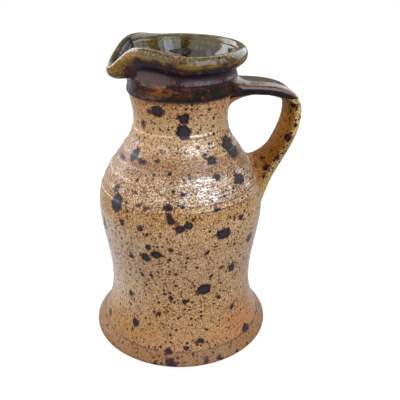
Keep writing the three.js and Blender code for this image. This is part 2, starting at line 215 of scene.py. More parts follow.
class PitcherColours(bpy.types.PropertyGroup):
    """Colours of the clay and the glaze."""

    clay: colour("Clay", tone(206, 152, 92), "Fired clay")
    clay_rose: colour("Rosy clay", tone(216, 164, 130), "Clay flashed rosy")
    clay_flush: colour("Flushed clay", tone(210, 130, 74), "Clay that the flame flushed")
    clay_gold: colour("Golden clay", tone(186, 126, 46), "Clay flashed golden")
    # Pale clay, also laid as a painted sheen on the left flank
    pale_clay_and_sheen: colour("Pale clay and sheen", tone(232, 206, 190), "Pale middles of iron spots, and painted sheen on the left flank")
    # Also laid as painted highlight on the edges of the ledges
    pale_grains_and_highlight: colour("Pale grains", tone(238, 210, 165), "Pale grains in the clay, and painted highlight on ledge edges")
    # Also laid as painted shade in the throwing grooves and in a band of the shoulder
    brown_grains_and_shade: colour("Brown grains", tone(116, 54, 20), "Brown grains in the clay, and painted shade in grooves and on the shoulder")
    ochre: colour("Ochre", tone(180, 140, 74), "Fumed clay of the handle")
    straw: colour("Straw", tone(224, 194, 112), "Fly ash along the ridges of the handle")
    # Also laid as painted shade inside the loop of the handle and on the left shoulder and foot
    umber_and_shade: colour("Umber", tone(160, 108, 34), "Painted shade inside the handle's loop and on the left, and amber glaze")
    # Also laid as painted shade along the cut line above the bevel
    iron_and_shade: colour("Iron", tone(26, 24, 34), "Molten iron in the spots, and painted shade along the cut line")
    rust: colour("Rust", tone(98, 46, 31), "Rusty rims of the spots")
    glaze: colour("Glaze", tone(40, 24, 36), "Thick dark glaze")
    # Also laid as painted shade in the throat of the spout, the hollow beside its nose and the liner under it
    black_glaze_and_shade: colour("Black glaze", tone(18, 9, 5), "Thickest glaze, and painted shade in and beside the spout")
    glaze_brown: colour("Brown glaze", tone(66, 34, 10), "Glaze of middling thickness")
    glaze_rust: colour("Rust glaze", tone(122, 54, 40), "Rust floating in the glaze")
    honey: colour("Honey glaze", tone(146, 108, 10), "Thin glaze")
    olive: colour("Olive glaze", tone(98, 80, 34), "Glaze on the lip and inside")
    violet: colour("Violet bloom", tone(86, 86, 128), "Blooms in the glaze inside")


def bezier(points, count):
    """The Bernstein sum of its control points, at even steps of its parameter."""
    points = np.asarray(points, float)
    degree = len(points) - 1
    step = np.linspace(0, 1, count + 1)[:, None]
    power = np.arange(degree + 1)
    choose = np.array([math.comb(degree, int(k)) for k in power])
    return (choose * step**power * (1 - step) ** (degree - power)) @ points


def unit(vectors):
    """Vectors of the same directions, each of length 1."""
    return vectors / np.maximum(np.linalg.norm(vectors, axis=-1, keepdims=True), 1e-12)


def run_along(points):
    """How far along a line each of its points lies."""
    return np.concatenate([[0], np.cumsum(np.linalg.norm(np.diff(points, axis=0), axis=1))])


def spaced(points, spacing):
    """A line of points again, with points about one spacing apart along its length."""
    run = run_along(points)
    even = np.linspace(0, run[-1], max(2, round(run[-1] / spacing) + 1))
    return np.stack([np.interp(even, run, points[:, k]) for k in range(points.shape[1])], axis=1)


def chain(*lines):
    """Lines of points joined end to end, each shared end kept once."""
    return np.concatenate([lines[0], *[line[1:] for line in lines[1:]]])


def swell(start, end, leave, arrive):
    """Control points of a span that leaves and arrives upright: an S between two stations."""
    rise = end[1] - start[1]
    return [start, (start[0], start[1] + leave * rise), (end[0], end[1] - arrive * rise), end]


def outer_profile(wall, fine=1.0):
    """Outside of the wall, from the base to the crest, as (radius, height) rows. Each span between two
    stations is a Bezier, sampled closely where the throwing rings show and loosely under the glaze."""
    foot = (wall.foot_radius, wall.foot_height)
    base = (wall.foot_radius - wall.undercut, 0)
    bevel = (wall.bevel_radius, wall.bevel_height)
    step = (bevel[0] - wall.step_depth, bevel[1] + wall.step_depth)
    waist = (wall.waist_radius, wall.waist_height)
    belly = (wall.belly_radius, wall.belly_height)
    neck = (wall.neck_radius, wall.neck_height)
    collar = (wall.collar_radius, wall.collar_height)
    groove = (wall.collar_radius - wall.groove_depth, wall.groove_height)
    lip = (wall.lip_radius, wall.lip_height)
    crest = (wall.crest_radius, wall.crest_height)
    bevel_rise = bevel[1] - foot[1]
    skirt_rise = waist[1] - bevel[1]
    lip_rise = lip[1] - groove[1]
    crest_rise = crest[1] - lip[1]
    crest_turn = crest[0] + (lip[0] - crest[0]) * 0.55
    spans = (
        ([(base[0] / 5, 0), base], 9),
        ([base, (foot[0] - wall.undercut / 3, foot[1] / 2), foot], 0.8),
        ([foot, (foot[0], foot[1] + bevel_rise / 3), (bevel[0] + wall.step_depth, bevel[1] - bevel_rise / 4),
          bevel], 0.8),
        ([bevel, step], 0.3),
        ([step, ((step[0] + waist[0]) / 2, bevel[1] + skirt_rise * 0.26),
          (waist[0], waist[1] - skirt_rise * 0.42), waist], 1.2),
        (swell(waist, belly, 0.42, 0.34), 1.1),
        (swell(belly, neck, 0.48, 0.34), 0.5),
        (swell(neck, collar, 0.4, 0.36), 1.2),
        ([collar, (groove[0], (collar[1] + groove[1]) / 2), groove], 0.8),
        ([groove, (groove[0], groove[1] + lip_rise / 3), (lip[0], lip[1] - lip_rise / 2), lip], 0.8),
        ([lip, (lip[0], lip[1] + crest_rise * 0.6), (crest_turn, crest[1]), crest], 0.8),
    )
    return chain(*[spaced(bezier(points, SPAN_STEPS), spacing * MM * fine) for points, spacing in spans])


def inner_profile(wall):
    """Inside of the wall, from the crest to the floor, as (radius, height) rows."""
    crest = (wall.crest_radius, wall.crest_height)
    lip = (wall.lip_radius - wall.lip_wall, wall.lip_height)
    collar = (wall.collar_radius - wall.neck_wall, wall.collar_height)
    neck = (wall.neck_radius - wall.neck_wall, wall.neck_height)
    belly = (wall.belly_radius - wall.belly_wall, wall.belly_height)
    waist = (wall.waist_radius - wall.lower_wall, wall.waist_height)
    corner = (waist[0], wall.floor + wall.floor_corner)
    floor = (waist[0] - wall.floor_corner, wall.floor)
    spans = (
        ([crest, (crest[0] - (crest[0] - lip[0]) * 0.55, crest[1]),
          (lip[0], lip[1] + (crest[1] - lip[1]) * 0.5), lip], 0.7),
        (swell(lip, collar, 0.4, 0.4), 1.2),
        (swell(collar, neck, 0.4, 0.4), 2),
        (swell(neck, belly, 0.34, 0.48), 3),
        (swell(belly, waist, 0.34, 0.42), 4),
        ([waist, corner], 5),
        ([corner, (waist[0], wall.floor), floor], 2.5),
        ([floor, (floor[0] / 6, wall.floor)], 6),
    )
    return chain(*[spaced(bezier(points, SPAN_STEPS), spacing * MM) for points, spacing in spans])


def offset(profile, distance):
    """A profile moved to its right by a distance, one for all its rows or one for each."""
    along = unit(np.gradient(profile, axis=0))
    return profile + np.stack([along[:, 1], -along[:, 0]], axis=1) * np.reshape(distance, (-1, 1))


def smooth(value, low, high):
    """A smooth step from 0 at low to 1 at high."""
    step = np.clip((value - low) / (high - low), 0, 1)
    return step * step * (3 - 2 * step)


def bump(value):
    """One hump: the square of a cosine, 1 at 0 and 0 from -1 and 1 outwards."""
    return np.cos(np.clip(value, -1, 1) * math.pi / 2) ** 2


def sector(angle, middle, reach):
    """One hump round the pot: 1 at the middle and 0 a reach away, both in degrees from the handle."""
    return bump((np.degrees(angle) - middle) / reach)


def beside_spout(angle, spout, widths):
    """One hump round the pot: 1 at the middle of the spout and 0 so many of its half widths away."""
    return bump((angle - math.pi - spout.lean) / (widths * spout.half_angle))


def pull_spout(points, wall, spout):
    """Moves points of the thrown surface as the fingers pull a spout at -X: the lip goes out and down by
    humps in the angle round the axis, the throat below it goes in, and the lip on both sides of it is
    pinched in and lifted. All of it fades out down the collar."""
    x, y, z = np.moveaxis(points, -1, 0)
    start = wall.neck_height + (wall.collar_height - wall.neck_height) * 0.6
    rise = np.clip((z - start) / (wall.lip_height - start), 0, 1)
    lip = np.clip((z - wall.groove_height) / (wall.crest_height - wall.groove_height), 0, None)
    turn = np.abs(np.arctan2(y, -x) + spout.lean)
    beak = bump(turn / (spout.throat_angle + (spout.half_angle - spout.throat_angle) * rise))
    throat = bump(turn / spout.throat_angle) * bump((z - wall.collar_height) / (wall.groove_height - start))
    pinch = bump(turn / spout.pinch_angle - 1) * smooth(rise, 0, 1)
    lift = bump(turn / spout.lift_angle - 1) * smooth(rise, 0, 1)
    radius = np.hypot(x, y)
    pulled = radius + beak * spout.reach * lip - throat * spout.throat_depth - pinch * spout.pinch_depth
    stretch = pulled / np.maximum(radius, MM)
    raised = z + lift * spout.lift - beak * spout.droop * rise**1.5
    return np.stack([x * stretch, y * stretch, raised], axis=-1)


def around(profile, columns):
    """A profile turned about +Z: rows of points at even angles, and the angles."""
    angle = np.arange(columns) / columns * TURN
    radius, height = profile[:, :1], profile[:, 1:]
    rings = np.stack([radius * np.cos(angle), radius * np.sin(angle), height + 0 * angle], axis=-1)
    return rings, angle


def throwing_rings(height, angle, wall):
    """How far the fingers pressed the wall: narrow grooves on one rising spiral, each turn of its own depth,
    and a ledge at every few turns. They come and go round the pot, and fade out at the neck and under the
    belly. Gives the push out of the wall, and how much each point lies in a groove and on a ledge's edge."""
    spiral = height / wall.ring_pitch - angle / TURN
    wander = spiral + 0.12 * np.sin(3 * angle) + 0.2 * np.sin(TURN * spiral * 0.31)
    uneven = np.sin(np.floor(wander + 0.5) * 78.233) ** 4
    grooves = (0.5 + 0.5 * np.cos(TURN * wander)) ** 9 * uneven
    scratches = (0.5 + 0.5 * np.cos(TURN * (wander * 2.63 + 0.3))) ** 8
    arcs = smooth(np.sin(2 * angle + 95 * height / wall.ring_pitch * MM) + 0.4 * np.cos(5 * angle), -0.9, 0.7)
    turns = (height - wall.ledge_height) / wall.ledge_pitch - (angle + math.pi / 2) / TURN * 0.6
    fall = turns - np.floor(turns)
    shallow = 1 - 0.55 * (np.floor(turns + 0.04) % 2)
    ledge = (smooth(fall, 0, 0.9) - smooth(fall, 0.9, 1)) * shallow
    shoulder = smooth(height, wall.belly_height + 4 * MM, wall.belly_height + 14 * MM)
    shoulder *= 1 - smooth(height, wall.neck_height - 8 * MM, wall.neck_height + 4 * MM)
    lower = smooth(height, wall.bevel_height + 4 * MM, wall.waist_height) * 0.2
    lower *= 1 - smooth(height, wall.neck_height, wall.collar_height)
    pressed = np.maximum(shoulder, lower) * (grooves * (0.3 + 0.7 * arcs) + 0.35 * scratches * arcs)
    edge = shoulder * bump((fall - 0.92) / 0.09) * (0.4 + 0.6 * arcs) * shallow
    push = wall.ledge_depth * shoulder * (ledge - 0.5) - wall.ring_depth * pressed
    return push, pressed.clip(0, 1), edge


def skin(name, rings, loop=False):
    """A closed mesh over rows of closed rings. A loop joins the last row to the first, and otherwise a fan
    round a middle point closes each end."""
    rows, columns = rings.shape[:2]
    points = rings.reshape(-1, 3)
    here = np.arange(rows * columns).reshape(rows, columns)
    low = here if loop else here[:-1]
    high = np.roll(here, -1, axis=0) if loop else here[1:]
    quads = np.stack([low, np.roll(low, -1, axis=1), np.roll(high, -1, axis=1), high], axis=-1).reshape(-1, 4)
    faces = quads.tolist()
    if not loop:
        middle = len(points)
        points = np.concatenate([points, rings[0].mean(axis=0)[None], rings[-1].mean(axis=0)[None]])
        first = np.stack([np.roll(here[0], -1), here[0], np.full(columns, middle)], axis=-1)
        last = np.stack([here[-1], np.roll(here[-1], -1), np.full(columns, middle + 1)], axis=-1)
        faces += first.tolist() + last.tolist()
    mesh = bpy.data.meshes.new(name)
    mesh.from_pydata(points.tolist(), [], faces)
    mesh.polygons.foreach_set("use_smooth", np.ones(len(mesh.polygons), bool))
    mesh.set_sharp_from_angle(angle=SHARP_ANGLE)
    mesh.update()
    piece = bpy.data.objects.new(name, mesh)
    bpy.context.scene.collection.objects.link(piece)
    return piece


def mark(piece, shape, **fields):
    """Numbers on the points of a piece, which its material reads. The shape is that of the piece's rows, and
    a field that is given for one row holds for all. Points past the last row get the last number."""
    for name, values in fields.items():
        values = np.broadcast_to(values, shape).ravel()
        spare = len(piece.data.vertices) - len(values)
        field = piece.data.attributes.new(name, "FLOAT", "POINT")
        field.data.foreach_set("value", np.pad(values, (0, spare), mode="edge").astype(np.float32))


class Eye:
    """The photograph's camera, fitted to the pitcher's outline: where it stands and its three axes."""

    DISTANCE = 332.2 * MM
    HEIGHT = 253 * MM
    AZIMUTH = math.radians(-9)
    PITCH = math.radians(25.94)
    YAW = math.radians(2.11)
    ROLL = math.radians(0.706)
    SENSOR = 36
    LENS = 51.8

    def __init__(self):
        side, front = math.sin(self.AZIMUTH), -math.cos(self.AZIMUTH)
        self.place = np.array([self.DISTANCE * side, self.DISTANCE * front, self.HEIGHT])
        heading = self.YAW - self.AZIMUTH
        level = np.array([math.sin(heading), math.cos(heading), 0])
        self.forward = level * math.cos(self.PITCH) + np.array([0, 0, -math.sin(self.PITCH)])
        right = np.array([math.cos(heading), -math.sin(heading), 0])
        up = np.cross(right, self.forward)
        self.right = right * math.cos(self.ROLL) + up * math.sin(self.ROLL)
        self.up = up * math.cos(self.ROLL) - right * math.sin(self.ROLL)

    def pixels(self, points):
        """Where points fall in the frame: pixels across, pixels down and pixels to a metre there."""
        ray = points - self.place
        scale = self.LENS / self.SENSOR * FRAME_PIXELS / (ray @ self.forward)
        across = FRAME_PIXELS / 2 + scale * (ray @ self.right)
        down = FRAME_PIXELS / 2 - scale * (ray @ self.up)
        return across, down, scale


def normals(rings):
    """Unit normals of rows of closed rings, from the differences along and round them."""
    along = np.gradient(rings, axis=0)
    round_it = (np.roll(rings, -1, axis=1) - np.roll(rings, 1, axis=1)) / 2
    return unit(np.cross(round_it, along))


def spot_axes(normal):
    """Two directions along the surface at a point: a level one, and the one square to it. Where the surface
    itself is level, the first is +X."""
    level = np.cross([0, 0, 1], normal)
    slant = np.linalg.norm(level)
    level = level / slant if slant > 1e-6 else np.array([1.0, 0, 0])
    return level, np.cross(normal, level)


def spot_depth(points, normal, seen, hidden, seed):
    """How deep each point lies inside an iron spot, in metres, and below 0 outside: the greatest, over all
    spots, of the spot's radius less the distance from its middle, measured along the surface as an ellipse.
    The spots in view are placed by pixels, and as many as hidden says are strewn over the far side."""
    eye = Eye()
    least_slant, least_facing = 0.4, 0.05
    usual_size, reach_through = 0.9 * MM, 4 * MM
    across, down, scale = eye.pixels(points)
    facing = np.sum(unit(eye.place - points) * normal, axis=1)
    draw = np.random.default_rng(seed)
    far = np.flatnonzero(facing < 0)
    spots = []
    for x, y, wide, high in seen:
        miss = np.hypot(across - x, down - y) + np.where(facing > least_facing, 0, FRAME_PIXELS)
        middle = int(np.argmin(miss))
        level, rise = spot_axes(normal[middle])
        half_wide = wide / 2 / scale[middle] / max(abs(level @ eye.right), least_slant)
        half_high = high / 2 / scale[middle] / max(abs(rise @ eye.up), least_slant)
        spots.append((middle, level, rise, half_wide, half_high))
    for middle in draw.choice(far, hidden, replace=False):
        level, rise = spot_axes(normal[middle])
        size = usual_size * math.exp(draw.normal(0.45, 0.5))
        spots.append((middle, level, rise, size, size * draw.uniform(0.7, 1.4)))
    depth = np.full(len(points), NO_SPOT)
    for middle, level, rise, wide, high in spots:
        away = points - points[middle]
        through = np.abs(away @ normal[middle]) / reach_through
        ring = np.sqrt((away @ level / wide) ** 2 + (away @ rise / high) ** 2 + through**4)
        depth = np.maximum(depth, (1 - ring) * min(wide, high))
    return depth


class Wire:
    """A socket that takes part in Python sums. Each operator adds one Math node."""

    def __init__(self, finish, socket):
        self.finish = finish
        self.socket = socket

    def _math(self, operation, *values):
        return self.finish.node("ShaderNodeMath", {"operation": operation}, dict(enumerate(values)))

    def __add__(self, other):
        return self._math("ADD", self, other)

    def __sub__(self, other):
        return self._math("SUBTRACT", self, other)

    def __rsub__(self, other):
        return self._math("SUBTRACT", other, self)

    def __mul__(self, other):
        return self._math("MULTIPLY", self, other)

    def __truediv__(self, other):
        return self._math("DIVIDE", self, other)

    def __rtruediv__(self, other):
        return self._math("DIVIDE", other, self)

    __radd__ = __add__
    __rmul__ = __mul__

    def other(self, output):
        """Another output of the same node."""
        return Wire(self.finish, self.socket.node.outputs[output])

    def most(self, other):
        """The larger of two values."""
        return self._math("MAXIMUM", self, other)

    def step(self, low, high, start=0, end=1):
        """A smooth step from start at low to end at high."""
        ends = {"Value": self, "From Min": low, "From Max": high, "To Min": start, "To Max": end}
        return self.finish.node("ShaderNodeMapRange", {"interpolation_type": "SMOOTHSTEP"}, ends)

    def band(self, middle, reach):
        """A hump that is 1 at the middle and 0 one reach away from it."""
        away = (self - middle) / reach
        return 1 - self._math("ABSOLUTE", away).step(0, 1)


class Finish:
    """A node material. Its pattern reads Object coordinates, in metres, and marks on the piece. Its shade
    starts as one colour, and others are laid over it."""

    def __init__(self, name, shade):
        self.material = bpy.data.materials.new(name)
        self.material.use_nodes = True
        self.tree = self.material.node_tree
        self.tree.nodes.clear()
        self.place = self.node("ShaderNodeTexCoord", {}, {}, "Object")
        self.shade = shade

    def node(self, kind, settings, inputs, output=0):
        """Adds a node: first its settings, then the values or links of its sockets. Gives one output."""
        made = self.tree.nodes.new(kind)
        for key, value in settings.items():
            setattr(made, key, value)
        for key, value in inputs.items():
            socket = made.inputs[key]
            if isinstance(value, Wire):
                self.tree.links.new(value.socket, socket)
            elif socket.type == "RGBA":
                socket.default_value = (*value, 1)
            else:
                socket.default_value = value
        return Wire(self, made.outputs[output]) if made.outputs else made

    def mix(self, share, first, second):
        """Two colours mixed: the first where the share is 0, and the second where it is 1."""
        return self.node("ShaderNodeMix", {"data_type": "RGBA"}, {0: share, 6: first, 7: second}, 2)

    def lay(self, colour, share):
        """Lays a colour over the shade, by a share."""
        self.shade = self.mix(share, self.shade, colour)

    def shifted(self, shift, stretch=(1, 1, 1)):
        """Object coordinates, scaled along their axes and then moved along all three."""
        ends = {"Vector": self.place, "Location": (shift, shift, shift), "Scale": stretch}
        return self.node("ShaderNodeMapping", {}, ends)

    def noise(self, size, detail, rough=0.5, shift=0.0, stretch=(1, 1, 1)):
        """Noise whose features are about one size across, in metres."""
        spot = self.shifted(shift, stretch)
        ends = {"Vector": spot, "Scale": 1 / size, "Detail": detail, "Roughness": rough}
        return self.node("ShaderNodeTexNoise", {}, ends)

    def specks(self, size, least, most, share, shift):
        """Round specks, one to a cell of a size: 1 inside, with radii between two shares of the cell. Only a
        share of the cells has one."""
        ends = {"Vector": self.shifted(shift), "Scale": 1 / size, "Randomness": 1.0}
        cell = self.node("ShaderNodeTexVoronoi", {}, ends, "Distance")
        draw = self.node("ShaderNodeSeparateColor", {}, {"Color": cell.other("Color")}, "Red")
        radius = draw * (most - least) + least
        there = draw.other("Green").step(1 - share - 0.01, 1 - share + 0.01)
        return (radius - cell).step(-0.06, 0.06) * there

    def mark(self, name):
        """A mark on the piece, as a value."""
        return self.node("ShaderNodeAttribute", {"attribute_name": name}, {}, "Fac")

    def height(self):
        """Height above the base."""
        return self.node("ShaderNodeSeparateXYZ", {}, {"Vector": self.place}, "Z")

    def relief(self, height, distance):
        """A normal from a height between 0 and 1, which stands for a distance in metres."""
        return self.node("ShaderNodeBump", {}, {"Strength": 1.0, "Distance": distance, "Height": height})

    def surface(self, **inputs):
        """Ends the material in one surface of its shade. Socket names have underscores for spaces."""
        sockets = {key.replace("_", " "): value for key, value in inputs.items()}
        shader = self.node("ShaderNodeBsdfPrincipled", {}, {"Base Color": self.shade, **sockets})
        self.node("ShaderNodeOutputMaterial", {}, {"Surface": shader})
        return self.material


def speckled_clay(scene, name, index, bloom):
    """Fired stoneware: a fine pepper of pale and brown grains, iron specks of four sizes, and iron spots with
    rusty rims where the piece is marked. The belly and neck are flashed golden under a veil over the grains,
    and flame colours the wall where it is marked. A painted sheen pales the left flank, painted shade darkens
    the left shoulder and foot, and the wall is darker towards the foot and at the bevel. A salt sheen lies in
    two bands on the shoulder, broken by the grains and in streaks, with painted shade in a browner band
    between them and in the throwing grooves, painted highlight on the edges of the ledges in front, and
    painted shade along the cut line above the bevel. Where the strap is marked, it is fumed ochre, with
    painted shade in umber inside its loop, and straw along its ridges. The index is that of the surface under
    the salt, and the bloom is how much its edges pale."""
    wall, colours = scene.pitcher_wall, scene.pitcher_colours
    bevel, waist, belly, neck = wall.bevel_height, wall.waist_height, wall.belly_height, wall.neck_height
    line = scene.pitcher_glaze.line
    clay = Finish(name, colours.clay)
    drift = clay.noise(26 * MM, 2.0)
    cloud = clay.noise(5 * MM, 3.0, 0.6, 0.3)
    grain = clay.noise(1.0 * MM, 1.0, 0.5, 0.7)
    fine = clay.noise(0.55 * MM, 1.0, 0.5, 1.1)
    streaks = clay.noise(10 * MM, 2.0, 0.6, 3.1, (1, 1, 9))
    glitter = clay.noise(1.5 * MM, 1.0, 0.5, 4.2, (1, 1, 1.7))
    pepper = grain * 0.4 + fine * 0.6
    height = clay.height()
    wavy = height + (cloud - 0.5) * 3 * MM
    fumed, inner, ridge, left_sheen = map(clay.mark, ("fumed", "inner", "ridge", "left_sheen"))

    # Flashing from the flame, painted sheen and shade on the left, darker towards the foot
    neck_hump = height.band(neck + 4.2 * MM, 22 * MM)
    belly_hump = height.band(belly + 9.2 * MM, 13 * MM)
    gold = belly_hump.most(neck_hump * 0.7) + (drift - 0.5) * 1.6 + (cloud - 0.5) * 1.2
    rosy = height.band(waist + 31.2 * MM, 30 * MM) * 0.55
    low_bevel = height.step(bevel + 3.2 * MM, bevel - 1.8 * MM)
    clay.lay(colours.clay_rose, (1 - drift).step(0.47, 0.62, 0, 0.5).most(rosy))
    clay.lay(colours.clay_gold, gold.step(0.2, 1, 0, 0.8))
    clay.lay(colours.clay_flush, clay.mark("flash") * drift.step(0.3, 0.6, 0.4, 0.9))
    # Painted sheen: the left flank paled as by a pale reflection
    clay.lay(colours.pale_clay_and_sheen, left_sheen * cloud.step(0.3, 0.6, 0.6, 1))
    # Painted shade: the left shoulder and foot darkened in umber
    clay.lay(colours.umber_and_shade, clay.mark("left_shade") * cloud.step(0.3, 0.6, 0.45, 0.85))
    clay.lay(colours.clay_flush, height.band(neck + 11.2 * MM, 12 * MM) * drift.step(0.3, 0.55, 0.5, 0.95))
    clay.lay(colours.pale_grains_and_highlight, height.band(neck + 0.2 * MM, 13 * MM) * 0.5)
    # Darker towards the foot, and darker and olive at the bevel
    clay.lay(colours.brown_grains_and_shade, height.step(waist + 19.2 * MM, bevel + 1.2 * MM, 0, 0.12))
    clay.lay(colours.brown_grains_and_shade, low_bevel * 0.5)
    clay.lay(colours.olive, low_bevel * 0.3)

    # Fuming of the strap, and painted shade inside its loop
    clay.lay(colours.ochre, fumed * 0.75)
    clay.lay(colours.straw, ridge * cloud.step(0.34, 0.5, 0.4, 1))
    # Painted shade: umber on the inner face of the loop, which faces the pot
    clay.lay(colours.umber_and_shade, inner * fumed)
    clay.lay(colours.olive, inner.most(fumed) * height.step(neck - 9.8 * MM, belly + 22.2 * MM, 0, 0.35))

    # Grains, and the veil of gold over them
    shoulder = height.band(belly + 24.2 * MM, 28 * MM)
    pale = (pepper + shoulder * 0.014).step(0.51, 0.58, 0, 0.95)
    pale_share = height.step(bevel + 0.2 * MM, waist + 9.2 * MM, 0.15, 1) * (1 - inner) * (1 - ridge * 0.7)
    coarse = pepper + (cloud - 0.5) * 0.15 + neck_hump * 0.03 - shoulder * 0.065
    coarse_share = height.step(waist + 9.2 * MM, belly + 16.2 * MM, 0.85, 1)
    uncovered = (1 - left_sheen * 0.5) * (1 - ridge * 0.6)
    clay.lay(colours.pale_grains_and_highlight, pale * pale_share)
    clay.lay(colours.brown_grains_and_shade, coarse.step(0.475, 0.405, 0, 0.95) * coarse_share * uncovered)
    clay.lay(colours.clay_gold, gold.step(0.1, 1, 0.08, 0.34) * (1 - fumed))
    clay.lay(colours.rust, wavy.step(line - 1.8 * MM, line + 0.8 * MM, 0, 0.8))

    # Painted shade between the salt bands and in the throwing grooves, painted highlight on ledge edges
    face = clay.mark("salt").step(0, 0.7)
    # A browner band between the two salt bands, with painted shade over it
    shaded_band = wavy.band(belly + 33.7 * MM, 9.5 * MM) * streaks.step(0.6, 0.4, 0.45, 0.85)
    clay.lay(colours.umber_and_shade, shaded_band * 0.6)
    # Painted shade in the throwing grooves
    clay.lay(colours.brown_grains_and_shade, clay.mark("groove").step(0.1, 0.7, 0, 0.6).most(shaded_band * 0.5))
    # Painted highlight on the edges of the ledges, on the front only
    clay.lay(colours.pale_grains_and_highlight, clay.mark("edge") * cloud.step(0.4, 0.6, 0.2, 0.9) * face)

    # Iron specks, iron spots, and painted shade along the cut line above the bevel
    freckles = clay.specks(1.5 * MM, 0.16, 0.42, 0.4, 0.6)
    brown = clay.specks(2.1 * MM, 0.16, 0.4, 0.55, 0.2)
    dark = clay.specks(3.2 * MM, 0.14, 0.34, 0.55, 0.9)
    blots = clay.specks(8 * MM, 0.08, 0.17, 0.5, 1.7)
    ragged = (clay.noise(2.6 * MM, 1.0, 0.5, 2.2) - 0.5) * 3.6 * MM + (grain - 0.5) * 1.6 * MM
    depth = clay.mark("spot_depth") + ragged
    core = depth.step(-0.05 * MM, 0.35 * MM)
    molten = core.most(blots)
    clay.lay(colours.rust, brown.most(freckles * 0.8) * 0.9)
    clay.lay(colours.iron_and_shade, dark * 0.95)
    clay.lay(colours.rust, depth.step(-0.7 * MM, -0.3 * MM, 0, 0.95))
    clay.lay(colours.iron_and_shade, molten)
    clay.lay(colours.pale_clay_and_sheen, depth.step(0.6 * MM, 1.8 * MM, 0, 0.04))
    # Painted shade along the cut line above the bevel
    clay.lay(colours.iron_and_shade, height.band(bevel + 0.6 * MM, 0.7 * MM) * drift.step(0.3, 0.6, 0.25, 0.65))

    # Relief, and the salt sheen as a coat
    pits = core.most(blots * 0.7).most(dark * 0.5)
    normal = clay.relief(pepper + cloud * 0.3 - pits * 0.3, 0.42 * MM)
    low_band = wavy.step(belly + 14.2 * MM, belly + 17.2 * MM) * wavy.step(belly + 30.2 * MM, belly + 29 * MM)
    under_neck = wavy.step(neck + 2.2 * MM, neck - 4.8 * MM, 0, 0.8)
    high_band = wavy.step(belly + 38.2 * MM, belly + 42.2 * MM) * under_neck
    clean = (1 - brown.most(dark).most(freckles) * 0.9) * glitter.step(0.47, 0.535)
    salted = low_band.most(high_band) * streaks.step(0.36, 0.5, 0.25, 1) * clean * face
    bare = (1 - inner) * height.step(bevel - 0.8 * MM, bevel + 7.2 * MM, 0.2, 1) * (1 - molten * 0.9)
    return clay.surface(
        Roughness=0.5 - cloud * 0.2, Normal=normal, IOR=index, Coat_Weight=salted.most(0.1) * bare,
        Coat_Roughness=0.18, Coat_IOR=3.2, Sheen_Weight=bloom, Sheen_Roughness=0.24
    )


